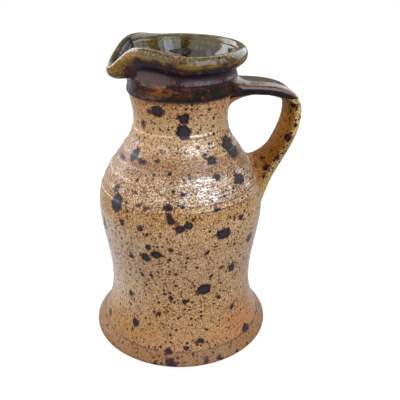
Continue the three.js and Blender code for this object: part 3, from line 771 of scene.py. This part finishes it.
def dark_glaze(scene):
    """Iron glaze that breaks from near black where it is thick, over violet brown, to amber, honey and olive
    where it runs thin, with rust floating in it. It reads how high each point lay before the spout was
    pulled, going on past the crest as it turns in. The nose of the spout is gilt, with painted shade in the
    hollow beside it and in its throat, and the strap has a rusty flank and dark lanes along it."""
    wall, colours, line = scene.pitcher_wall, scene.pitcher_colours, scene.pitcher_glaze.line
    collar, groove, lip, crest = wall.collar_height, wall.groove_height, wall.lip_height, wall.crest_height
    glaze = Finish("dark_glaze", colours.black_glaze_and_shade)
    drift = glaze.noise(8 * MM, 3.0, 0.6)
    mottle = glaze.noise(1.5 * MM, 2.0, 0.6, 0.4)
    flour = glaze.noise(0.8 * MM, 1.0, 0.5, 1.9)
    broken = glaze.noise(3.5 * MM, 3.0, 0.65, 0.9)
    level, strap, spout_side, flank = map(glaze.mark, ("level", "strap", "nose", "flank"))
    runs = glaze.noise(9 * MM, 3.0, 0.65, 1.3, (1, 1, 2)) + (glaze.mark("thin") - 0.7) * 0.12
    lane = glaze.mark("lane") + (drift - 0.5) * 0.5
    height = level + (drift - 0.5) * 3 * MM + (mottle - 0.5) * 1.2 * MM
    pot = 1 - strap

    # The collar, from the dip line up
    thin_band = height.band(line + 6.6 * MM, 4.6 * MM)
    ridge = level.band(collar + 1 * MM, 1.6 * MM) * mottle.step(0.4, 0.6)
    glaze.lay(colours.glaze, height.step(collar - 3.8 * MM, collar + 0.7 * MM))
    glaze.lay(colours.glaze_brown, height.band(line + 5.6 * MM, 5 * MM) * drift.step(0.42, 0.56))
    glaze.lay(colours.glaze_rust, thin_band * runs.step(0.45, 0.55, 0, 0.5))
    glaze.lay(colours.umber_and_shade, thin_band * runs.step(0.52, 0.62, 0, 0.6))
    glaze.lay(colours.honey, height.band(line + 7.8 * MM, 2.8 * MM) * runs.step(0.6, 0.68, 0, 0.9))
    glaze.lay(colours.glaze_rust, ridge * 0.7)
    glaze.lay(colours.honey, height.band(lip + 0.3 * MM, 2.6 * MM) * drift.step(0.34, 0.56, 0.1, 0.9))
    glaze.lay(colours.olive, height.step(lip + 0.9 * MM, lip + 3.1 * MM))

    # The nose of the spout, and painted shade in the hollow beside it
    above = (spout_side * (height - (collar + 2.2 * MM)) / (5 * MM)).step(0.3, 0.8)
    nose = above * level.step(crest + 1 * MM, crest - 0.6 * MM, 0, 0.9)
    hollow = glaze.mark("cheek") * height.band(groove + 2.3 * MM, 2.6 * MM)
    glaze.lay(colours.ochre, nose * broken.step(0.4, 0.55, 0.3, 0.85))
    glaze.lay(colours.honey, nose * (1 - broken).step(0.42, 0.55, 0.3, 0.9))
    glaze.lay(colours.clay_gold, nose * level.band(lip + 0.1 * MM, 5 * MM) * broken.step(0.44, 0.58, 0, 0.6))
    # Painted shade in the hollow beside the nose: black in its middle, rust-coloured at its edge
    glaze.lay(colours.rust, hollow.step(0.15, 0.35, 0, 0.9))
    glaze.lay(colours.black_glaze_and_shade, hollow.step(0.4, 0.65, 0, 0.9))

    # Flour on the roll of the lip, and painted shade in the throat inside the spout
    turning_in = level.step(crest + 2.7 * MM, crest + 0.7 * MM)
    roll = level.step(lip - 0.1 * MM, lip + 2.3 * MM).most(nose) * turning_in * pot
    speck = mottle * 0.6 + flour * 0.4
    throat = spout_side.step(0.1, 0.4, 0.2, 0.95) * level.step(crest + 0.2 * MM, crest + 1.8 * MM)
    glaze.lay(colours.pale_grains_and_highlight, roll * (1 - nose * 0.7) * speck.step(0.52, 0.62, 0, 0.26))
    glaze.lay(colours.glaze_brown, roll * speck.step(0.48, 0.39, 0, 0.9))
    # Painted shade: the throat inside the spout in black glaze
    glaze.lay(colours.black_glaze_and_shade, throat * pot)

    # The strap: its top, its side, the lanes along it, its flank and the crease between
    top = strap * level.step(crest - 0.8 * MM, crest + 0.7 * MM)
    side = strap * level.step(lip - 0.9 * MM, lip - 4.9 * MM)
    crease = strap * level.band(lip + 0.4 * MM, 3 * MM)
    glaze.lay(colours.glaze, top * drift.step(0.3, 0.6, 0.4, 0.9))
    glaze.lay(colours.black_glaze_and_shade, side * broken.step(0.35, 0.6, 0.4, 0.95))
    glaze.lay(colours.glaze, strap * lane.band(-0.75, 0.25) * 0.8)
    glaze.lay(colours.black_glaze_and_shade, strap * lane.band(0.74, 0.14) * 0.8)
    glaze.lay(colours.rust, flank * mottle.step(0.36, 0.56, 0.6, 0.95))
    glaze.lay(colours.umber_and_shade, crease * broken.step(0.4, 0.55, 0, 0.5))

    # Rust that floats in it and lies along the dip line
    blooms = (broken + glaze.specks(5 * MM, 0.15, 0.4, 0.4, 0.5) * 0.5).step(0.72, 0.82)
    flecks = glaze.specks(2.4 * MM, 0.1, 0.32, 0.4, 0.8)
    glaze.lay(colours.glaze_rust, (blooms * 0.8).most(flecks * 0.6))
    glaze.lay(colours.glaze_rust, level.step(line + 1.8 * MM, line + 0.8 * MM, 0, 0.8))

    # Relief and gloss
    low_roll = level.step(line + 5.6 * MM, line + 2.8 * MM)
    pulled = strap * lane.band(0.25, 0.3) * 1.5
    normal = glaze.relief(mottle * (low_roll * 0.9 + 0.2) + drift + broken * 0.3 + pulled, 0.3 * MM)
    satin = level.band(groove + 0.6 * MM, 6.5 * MM)
    dull = spout_side.step(0.3, 0.7) * level.band(crest + 0.4 * MM, 1.6 * MM)
    rough = mottle * 0.06 + ridge * 0.45 + flank * 0.1 + (satin + dull) * pot * 0.3 + 0.02
    return glaze.surface(Roughness=rough, Normal=normal, IOR=1.56)


def olive_glaze(scene):
    """The glaze inside: brown in drifts, olive towards the lip and mottled, with rust flecks and violet
    blooms, and painted shade, near black, under the spout."""
    wall, colours = scene.pitcher_wall, scene.pitcher_colours
    collar, groove, lip = wall.collar_height, wall.groove_height, wall.lip_height
    glaze = Finish("olive_glaze", colours.black_glaze_and_shade)
    drift = glaze.noise(12 * MM, 3.0, 0.6, 0.8)
    mottle = glaze.noise(1.8 * MM, 3.0, 0.65, 0.1)
    upper = glaze.height() + (drift - 0.5) * 12 * MM
    thin = mottle.step(0.5, 0.66, 0, 0.35) * upper.step(collar - 7.8 * MM, groove + 4.6 * MM)
    blooms = mottle * 0.3 + glaze.specks(8 * MM, 0.1, 0.36, 0.5, 0.6) * 0.6
    glaze.lay(colours.glaze_brown, drift.step(0.42, 0.66, 0, 0.8))
    glaze.lay(colours.olive, upper.step(groove + 1.6 * MM, lip + 2.1 * MM, 0, 0.9))
    glaze.lay(colours.honey, thin)
    glaze.lay(colours.black_glaze_and_shade, mottle.step(0.47, 0.37, 0, 0.7))
    glaze.lay(colours.glaze_rust, glaze.specks(3.1 * MM, 0.1, 0.3, 0.4, 0.3) * 0.6)
    # Painted shade, near black, under the spout
    glaze.lay(colours.black_glaze_and_shade, glaze.mark("nose").step(0.1, 0.6, 0, 0.9))
    glaze.lay(colours.violet, blooms.step(0.36, 0.7, 0, 0.75))
    normal = glaze.relief(mottle * 0.15 + drift, 0.2 * MM)
    return glaze.surface(Roughness=mottle * 0.04 + 0.01, Normal=normal, IOR=1.62)


def dress(piece, material, slot, *nodes):
    """Gives a piece its material and its place in the frame."""
    piece.data.materials.append(material)
    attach(piece, "root")
    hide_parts(*nodes)


def handle_line(wall, strap):
    """Centre line of the strap, as two cubics: out from the collar and over, and down into the belly."""
    start = wall.neck_radius - wall.neck_wall / 2
    reach = wall.neck_radius + strap.finger_room + strap.thickness / 2
    root = strap.root_height
    bend = root - strap.bend_drop
    tail = root - strap.tail_drop
    sunk = wall.belly_radius - strap.tail_sink
    drop = bend - tail
    leave = (reach - (reach - start) * 0.18, root)
    arrive = (sunk + (reach - sunk) * 0.33, tail + drop * 0.43)
    over = [(start, root), leave, (reach, bend + strap.bend_drop * 0.64), (reach, bend)]
    down = [(reach, bend), (reach, bend - drop * 0.34), arrive, (sunk, tail)]
    steps, spacing = 200, 0.8 * MM
    return spaced(chain(bezier(over, steps), bezier(down, steps)), spacing)


def wall_clearance(points, wall):
    """How far points lie outside the thrown wall, square to it, and the wall's normals beside them."""
    profile = outer_profile(wall)
    rising = profile[profile[:, 1] > wall.waist_height]
    slope = np.gradient(rising[:, 0]) / np.gradient(rising[:, 1])
    order = np.argsort(rising[:, 1])
    radius = np.interp(points[..., 2], rising[order, 1], rising[order, 0])
    tilt = np.interp(points[..., 2], rising[order, 1], slope[order])
    level = 1 / np.sqrt(1 + tilt**2)
    out_from_axis = np.hypot(points[..., 0], points[..., 1])
    outward = points[..., :2] / out_from_axis[..., None] * level[..., None]
    return (out_from_axis - radius) * level, np.concatenate([outward, (-tilt * level)[..., None]], axis=-1)


def strap_surface(wall, strap, angle):
    """Points of the strap at angles round its section: one row of angles for all the steps of its centre
    line, or one for each. The section is a flat rounded band, hollowed on its outer face. Near the wall a
    fillet pushes points along the wall by a quarter ellipse, long inside the loop and short beside it, and
    keeps how far they stand off it, so that the strap flows into the pot. No point goes deep into the
    wall."""
    line = handle_line(wall, strap)
    along = unit(np.gradient(line, axis=0))
    share = np.linspace(0, 1, len(line))[:, None]
    cosine, sine = np.cos(angle), np.sin(angle)
    across = np.sign(cosine) * np.abs(cosine) ** 0.7
    through = np.sign(sine) * np.abs(sine) ** 0.7
    half_width = (strap.width + (strap.tail_width - strap.width) * share) / 2
    half_thick = (strap.thickness + (strap.tail_thickness - strap.thickness) * share) / 2
    hollow = strap.groove * np.maximum(through, 0) * (1 - across**2)
    out = through * half_thick - hollow
    x = line[:, :1] - along[:, 1:] * out
    z = line[:, 1:] + along[:, :1] * out
    points = np.stack([x, across * half_width, z], axis=-1)
    lean_wide = np.sign(cosine) * np.abs(cosine) ** 1.3 / half_width
    lean_thick = np.sign(sine) * np.abs(sine) ** 1.3 / half_thick
    lean = unit(np.stack([-along[:, 1:] * lean_thick, lean_wide, along[:, :1] * lean_thick], axis=-1))
    clear, wall_normal = wall_clearance(points, wall)
    tail = smooth(share, 0.4, 0.6)
    inner, crown = np.maximum(-through, 0) ** 2, np.maximum(through, 0) ** 2
    smear = strap.root_smear + (strap.tail_smear - strap.root_smear) * tail
    fill = strap.root_fill + (strap.tail_fill - strap.root_fill) * tail
    run = smear + (strap.fill_reach - smear) * inner + (2 * strap.crown_smear - smear) * crown
    rise = smear + (fill - smear) * inner + (strap.crown_smear - smear) * crown
    near = np.clip(1 - clear / run, 0, 1)
    push = rise * (1 - np.sqrt(1 - near**2))
    slide = lean - np.sum(lean * wall_normal, axis=-1, keepdims=True) * wall_normal
    points = points + slide * push[..., None]
    for _ in range(3):
        now, wall_normal = wall_clearance(points, wall)
        points = points + wall_normal * (np.maximum(clear, -strap.sunk) - now)[..., None]
    return points


def there_and_back(rows):
    """Rows of numbers, each followed by the same backwards: over a sheet and back under it."""
    return np.concatenate([rows, rows[:, ::-1]], axis=1)


class PITCHER_OT_stage(bpy.types.Operator):
    """Set up the camera, the pale floor and the soft lights"""

    bl_idname = "pitcher.stage"
    bl_label = "Stage"

    def execute(self, context):
        scene = context.scene
        scene.view_settings.view_transform = "Standard"
        self.camera(scene)
        self.floor(scene)
        self.lights(scene)
        return {"FINISHED"}

    def camera(self, scene):
        """The camera stands where the photograph's stood."""
        eye = Eye()
        lens = bpy.data.cameras.new("camera")
        lens.sensor_width = Eye.SENSOR
        lens.lens = Eye.LENS
        lens.clip_start = 0.01
        camera = bpy.data.objects.new("camera", lens)
        axes = Matrix([eye.right, eye.up, -eye.forward]).transposed().to_4x4()
        camera.matrix_world = Matrix.Translation(eye.place) @ axes
        scene.collection.objects.link(camera)
        scene.camera = camera

    def floor(self, scene):
        """A wide dim square. The camera sees it lifted nearly to white, with the shadow on it, and
        reflections see it lifted a little."""
        half, drop = 4.0, 0.1 * MM
        camera_lift, glossy_share = 0.94, 0.05
        mesh = bpy.data.meshes.new("floor")
        corners = np.array([[-1, -1, 0], [1, -1, 0], [1, 1, 0], [-1, 1, 0]]) * half
        mesh.from_pydata((corners - [0, 0, drop]).tolist(), [], [[0, 1, 2, 3]])
        floor = bpy.data.objects.new("floor", mesh)
        scene.collection.objects.link(floor)
        pale = Finish("pale_floor", (0.12, 0.12, 0.12))
        seen = pale.node("ShaderNodeLightPath", {}, {}, "Is Camera Ray")
        lifted = seen.most(seen.other("Is Glossy Ray") * glossy_share).most(seen.other("Is Transmission Ray"))
        glow = pale.mix(lifted * camera_lift, (0, 0, 0), (1, 1, 1))
        mesh.materials.append(pale.surface(Roughness=0.9, Emission_Color=glow, Emission_Strength=1.0))

    def lights(self, scene):
        """A window of four panes in front on the right, a broad soft one on the left, one over the back, one
        behind each edge, and a pale sky. A pane has its degrees to the right of the camera and up, its metres
        away, wide and high, its watts and its tint."""
        cool, warm = (0.82, 0.91, 1), (1, 0.97, 0.92)
        panes = (
            ("pane_first", 10, 27, 0.95, 0.30, 0.72, 1.5, cool),
            ("pane_near", 33, 27, 0.95, 0.30, 0.72, 2.6, cool),
            ("pane_far", 54, 27, 0.95, 0.26, 0.72, 2.3, cool),
            ("pane_last", 76, 27, 0.95, 0.24, 0.72, 1.0, cool),
            ("back_top", 176, 58, 1.1, 0.9, 0.25, 2.4, cool),
            ("left_soft", -74, 23, 1.7, 3.2, 2.1, 25.0, warm),
            ("right_edge", 134, 24, 1.2, 1.2, 1.0, 8.5, cool),
            ("left_edge", -132, 26, 1.2, 1.2, 1.0, 16.0, cool),
        )
        for name, turn, rise, away, wide, high, power, tint in panes:
            lamp = bpy.data.lights.new(name, "AREA")
            lamp.shape = "RECTANGLE"
            lamp.size = wide
            lamp.size_y = high
            lamp.energy = power
            lamp.color = tint
            heading = Eye.AZIMUTH + math.radians(turn)
            level = math.cos(math.radians(rise))
            up = math.sin(math.radians(rise))
            toward = np.array([math.sin(heading) * level, -math.cos(heading) * level, up])
            right = np.array([math.cos(heading), math.sin(heading), 0])
            axes = Matrix([right, np.cross(toward, right), toward]).transposed().to_4x4()
            light = bpy.data.objects.new(name, lamp)
            light.matrix_world = Matrix.Translation(toward * away + np.array([0, 0, Eye.HEIGHT / 2])) @ axes
            scene.collection.objects.link(light)
        sun = bpy.data.lights.new("sky", "SUN")
        sun.energy = 0.35
        sun.angle = math.radians(60)
        sky = bpy.data.objects.new("sky", sun)
        sky.rotation_euler = (math.radians(18), 0, 0)
        scene.collection.objects.link(sky)
        world = bpy.data.worlds.new("pale_air")
        world.use_nodes = True
        air = world.node_tree.nodes["Background"].inputs
        air["Color"].default_value = (0.95, 0.97, 1, 1)
        air["Strength"].default_value = 0.18
        scene.world = world


class PITCHER_OT_body(bpy.types.Operator):
    """Throw the clay body with its foot, belly, neck, lip and spout"""

    bl_idname = "pitcher.body"
    bl_label = "Clay body"
    COLUMNS = 256

    def execute(self, context):
        scene = context.scene
        wall = scene.pitcher_wall
        outer, inner = outer_profile(wall), inner_profile(wall)
        rings, angle = around(chain(outer, inner), self.COLUMNS)
        outside = np.arange(len(rings))[:, None] < len(outer)
        push, grooves, edges = (amount * outside for amount in throwing_rings(rings[..., 2], angle, wall))
        flash_sheen_and_shade = self.flash_sheen_and_shade(rings[..., 2], angle, wall)
        rings = pull_spout(rings + normals(rings) * push[..., None], wall, scene.pitcher_spout)
        body = skin("clay_body", rings)
        shape = rings.shape[:2]
        mark(body, shape, groove=grooves, edge=edges, spot_depth=self.spots(rings, len(outer)))
        mark(body, shape, **{name: amount * outside for name, amount in flash_sheen_and_shade.items()})
        dress(body, speckled_clay(scene, "speckled_clay", 1.35, 1.0), "clay", "thrown_body")
        return {"FINISHED"}

    def flash_sheen_and_shade(self, height, angle, wall):
        """Humps over the wall: where the flame flushed the foot, where painted sheen pales the flank under
        the lip, where painted shade darkens the shoulder above it and the foot below, and where salt settled
        in front."""
        bevel, waist, belly = wall.bevel_height, wall.waist_height, wall.belly_height
        flank = smooth(height, bevel + 9.2 * MM, waist + 4.2 * MM)
        flank -= smooth(height, belly - 7.8 * MM, belly + 10.2 * MM)
        left_shade = 0.7 * bump((height - belly - 32.2 * MM) / (30 * MM))
        left_shade += 0.6 * bump((height - bevel + 2.8 * MM) / (26 * MM))
        return {
            "flash": sector(angle, 318, 38) * bump((height - waist * 0.6) / (26 * MM)),
            "left_sheen": sector(angle, 195, 56) * flank,
            "left_shade": sector(angle, 200, 64) * left_shade,
            "salt": sector(angle, 280, 76),
        }

    def spots(self, rings, outside):
        """Spots on the outside of the wall, and none inside."""
        outward = normals(rings)[:outside].reshape(-1, 3)
        shown = spot_depth(rings[:outside].reshape(-1, 3), outward, IRON_SPOTS, HIDDEN_SPOTS, SEED)
        depth = np.full(rings.shape[:2], NO_SPOT)
        depth[:outside] = shown.reshape(outside, -1)
        return depth


class PITCHER_OT_handle(bpy.types.Operator):
    """Pull the strap handle and smear its roots into the pot"""

    bl_idname = "pitcher.handle"
    bl_label = "Handle"
    SIDES = 96

    def execute(self, context):
        scene = context.scene
        wall = scene.pitcher_wall
        angle = np.arange(self.SIDES) / self.SIDES * TURN
        rings = strap_surface(wall, scene.pitcher_handle, angle)
        handle = skin("strap_handle", rings)
        points, outward = rings.reshape(-1, 3), normals(rings).reshape(-1, 3)
        shape = rings.shape[:2]
        depth = spot_depth(points, outward, STRAP_SPOTS, STRAP_HIDDEN_SPOTS, SEED + 1).reshape(shape)
        inner = smooth(-np.sin(angle), -0.1, 0.6)
        ridge = bump((np.sin(angle) - 0.2) / 0.52)
        fumed = smooth(wall_clearance(rings, wall)[0], -0.5 * MM, 8 * MM)
        mark(handle, shape, spot_depth=depth, inner=inner, ridge=ridge, fumed=fumed)
        clay = speckled_clay(scene, "strap_clay", 1.05, 0.5)
        dress(handle, clay, "clay", "pulled_handle", "upper_root_coil", "lower_root_coil")
        return {"FINISHED"}


class PITCHER_OT_glaze(bpy.types.Operator):
    """Dip the lip, the collar and the top of the handle in dark glaze"""

    bl_idname = "pitcher.glaze"
    bl_label = "Dipped glaze"
    COLUMNS = 288
    SHEET = 40

    def execute(self, context):
        scene = context.scene
        glaze = dark_glaze(scene)
        self.collar(scene, glaze)
        self.strap(scene, glaze)
        return {"FINISHED"}

    def collar(self, scene, glaze):
        """The coat follows the wall from the dip line over the crest and a little way in. Its thickness
        rises from the dip line as a quarter ellipse to a fat roll, and thins at its inner end."""
        wall, spout, dip = scene.pitcher_wall, scene.pitcher_spout, scene.pitcher_glaze
        spacing, edge, fade_rise, hang_reach = 0.45 * MM, 1.2 * MM, 5 * MM, 5 * MM
        outer, inner = outer_profile(wall, 0.6), inner_profile(wall)
        above = outer[outer[:, 1] > dip.line]
        path = spaced(chain(above, inner[:30]), spacing)
        run = run_along(path)
        crest = run[np.argmax(path[:, 1])]
        keep = run < crest + dip.turn_in
        path, run = path[keep], run[keep]
        rise = np.sqrt(1 - (1 - np.clip(run / edge, 0, 1)) ** 2)
        roll = 1 + 0.4 * bump((run - 1.3 * MM) / (2 * MM))
        thin = 1 - 0.92 * smooth(run, crest, crest + dip.turn_in)
        sheet = offset(path, dip.coat * rise * roll * thin)
        under = offset(path, SEAT)[::-4]
        profile = np.concatenate([sheet, under])
        rings, angle = around(profile, self.COLUMNS)
        waver = np.sin(3 * angle + 0.6) + 0.6 * np.sin(7 * angle + 2) + 0.4 * np.sin(16 * angle)
        fade = 1 - smooth(profile[:, 1], dip.line, dip.line + fade_rise)
        top = np.argmax(profile[:, 1])
        level = rings[..., 2].copy()
        level[top:len(sheet)] = 2 * profile[top, 1] - level[top:len(sheet)]
        rings[..., 2] += dip.waver * waver * fade[:, None] / 2
        pulled = pull_spout(rings, wall, spout)
        under_lip = (wall.groove_height + wall.lip_height) / 2
        hang = beside_spout(angle, spout, 1) * bump((profile[:, 1:] - under_lip) / hang_reach)
        hang[len(sheet):] = 0
        coat = skin("dip_glaze", pulled + normals(pulled) * hang[..., None] * spout.fullness, loop=True)
        shape = rings.shape[:2]
        mark(coat, shape, level=level, nose=beside_spout(angle, spout, NOSE_WIDTHS))
        mark(coat, shape, thin=sector(angle, 240, 44), cheek=sector(angle, 201, 16))
        dress(coat, glaze, "glaze", "collar_glaze")

    def strap(self, scene, glaze):
        """The coat on the strap: at each step along it, the part of the section that lies above the dip line,
        as a thin crescent whose inner side is sunk in the clay."""
        wall, strap, dip = scene.pitcher_wall, scene.pitcher_handle, scene.pitcher_glaze
        bend_start, bend_end = 52 * MM, 66 * MM
        least_limit, tip_rows, thinner, sunk = 0.1, 8, 0.7, 0.25 * MM
        turned = np.linspace(0, math.pi, 181)
        probe = strap_surface(wall, strap, math.pi / 2 + turned)
        run_down = smooth(probe[..., 0], bend_start, bend_end)
        below = probe[..., 2] < dip.line - dip.strap_dip - dip.run_down * run_down
        limit = turned[np.where(below.any(axis=1), np.argmax(below, axis=1), len(turned) - 1)]
        last = int(np.argmax(limit < least_limit))
        limit = np.convolve(np.pad(limit[:last], 2, mode="edge"), np.ones(5) / 5, mode="valid")
        share = np.linspace(-1, 1, self.SHEET)
        spread = limit[:, None] * share
        sections = np.zeros((len(probe), self.SHEET))
        sections[:last] = spread
        sheet = strap_surface(wall, strap, math.pi / 2 + sections)[:last]
        outward = unit(np.cross(np.gradient(sheet, axis=1), np.gradient(sheet, axis=0)))
        tip = np.sqrt(np.clip((last - np.arange(last)) / tip_rows, 0, 1))[:, None]
        thick = dip.coat * thinner * np.sqrt(1 - np.abs(share) ** 6) * tip
        outer, inner = sheet + outward * thick[..., None], sheet - outward * sunk
        crescent = np.concatenate([outer, inner[:, ::-1]], axis=1)
        coat = skin("strap_glaze", crescent)
        up = smooth(outward[..., 2], 0.3, 0.85)
        aside = np.abs(spread)
        ridge = bump((aside - 1.0) / 0.17)
        level = dip.line + (14 + 11 * up * (1 - ridge) + 8 * ridge) * MM
        flank = bump((aside - 1.1) / 0.5) * (1 - bump((aside - 0.92) / 0.07))
        fields = {"level": level, "flank": flank, "lane": spread, "strap": np.ones_like(spread)}
        mark(coat, crescent.shape[:2], **{name: there_and_back(rows) for name, rows in fields.items()})
        dress(coat, glaze, "glaze", "handle_glaze")


class PITCHER_OT_liner(bpy.types.Operator):
    """Line the inside with olive glaze"""

    bl_idname = "pitcher.liner"
    bl_label = "Liner glaze"
    COLUMNS = 192

    def execute(self, context):
        scene = context.scene
        wall, spout, dip = scene.pitcher_wall, scene.pitcher_spout, scene.pitcher_glaze
        path = inner_profile(wall)
        run = run_along(path)
        keep = run > dip.turn_in * 0.4
        path, run = path[keep], run[keep]
        rise = smooth(run, run[0] - 0.5 * MM, dip.turn_in * 1.6)
        sheet = offset(path, dip.coat * rise)
        under = offset(path, SEAT)[::-3]
        rings, angle = around(np.concatenate([sheet, under]), self.COLUMNS)
        liner = skin("liner", pull_spout(rings, wall, spout), loop=True)
        mark(liner, rings.shape[:2], nose=beside_spout(angle, spout, NOSE_WIDTHS))
        dress(liner, olive_glaze(scene), "liner", "liner_glaze")
        return {"FINISHED"}


class PITCHER_PT_panel(bpy.types.Panel):
    """Lists the pieces of the pitcher"""

    bl_idname = "PITCHER_PT_panel"
    bl_label = "Pitcher"
    bl_space_type = "VIEW_3D"
    bl_region_type = "UI"
    bl_category = "Pitcher"

    def draw(self, context):
        for operator in OPERATORS:
            self.layout.operator(operator.bl_idname)


GROUPS = {
    "pitcher_wall": PitcherWall,
    "pitcher_spout": PitcherSpout,
    "pitcher_handle": PitcherHandle,
    "pitcher_glaze": PitcherGlaze,
    "pitcher_colours": PitcherColours,
}
OPERATORS = (PITCHER_OT_stage, PITCHER_OT_body, PITCHER_OT_handle, PITCHER_OT_glaze, PITCHER_OT_liner)
CLASSES = (*GROUPS.values(), *OPERATORS, PITCHER_PT_panel)


def register():
    """Adds the classes, and the sizes and colours to the scene."""
    for item in CLASSES:
        bpy.utils.register_class(item)
    for name, group in GROUPS.items():
        setattr(bpy.types.Scene, name, bpy.props.PointerProperty(type=group))


def unregister():
    """Takes them away again."""
    for name in GROUPS:
        delattr(bpy.types.Scene, name)
    for item in reversed(CLASSES):
        bpy.utils.unregister_class(item)


def main():
    """Builds the pitcher."""
    register()
    bpy.ops.pitcher.stage()
    bpy.ops.pitcher.body()
    bpy.ops.pitcher.handle()
    bpy.ops.pitcher.glaze()
    bpy.ops.pitcher.liner()


if __name__ == "__main__":
    main()
